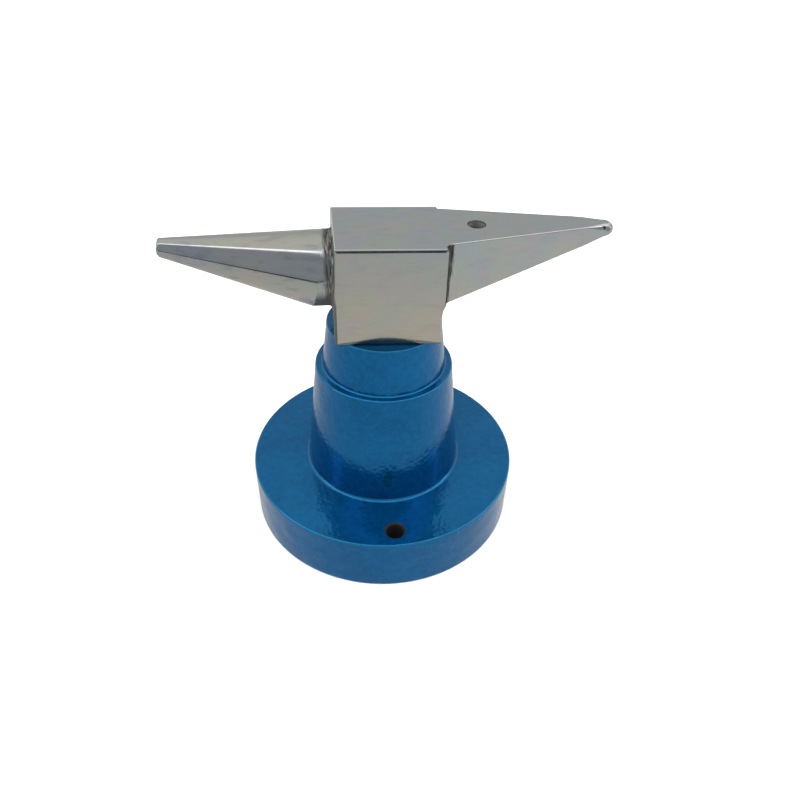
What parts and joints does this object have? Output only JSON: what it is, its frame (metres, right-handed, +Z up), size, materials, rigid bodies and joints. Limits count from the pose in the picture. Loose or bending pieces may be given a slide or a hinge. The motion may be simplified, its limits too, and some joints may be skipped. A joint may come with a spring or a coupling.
{
  "type": "bench anvil",
  "caption": "Small double-horn steel bench anvil, one round horn and one flat horn with a punching hole, on a round stepped cast base with bench screw holes.",
  "frame": {"origin": "on the column's axis at the base's underside", "axes": "+X along the horns towards the flat horn's tip, +Z up along the column's axis"},
  "size_m": [0.147, 0.1016, 0.1166],
  "materials": {
    "blue_paint": "glossy fine metallic paint",
    "plated_steel": "nickel plated, satin polished",
    "black_oxide": "black oxide, dull",
    "zinc_plate": "bright zinc"
  },
  "bodies": {
    "base": {"base_casting": "blue_paint", "plain_washer": "zinc_plate", "spring_washer": "zinc_plate"},
    "head": {"anvil_head": "plated_steel"},
    "screw": {"clamp_screw": "black_oxide"}
  },
  "joints": [
    {"name": "head_swivel", "type": "hinge", "parent": "base", "child": "head", "pos_m": [0, 0, 0.0823], "axis": [0, 0, 1], "continuous": true},
    {"name": "clamp_screw_turn", "type": "hinge", "parent": "head", "child": "screw", "pos_m": [0, 0, 0.0263], "axis": [0, 0, 1], "continuous": true}
  ]
}
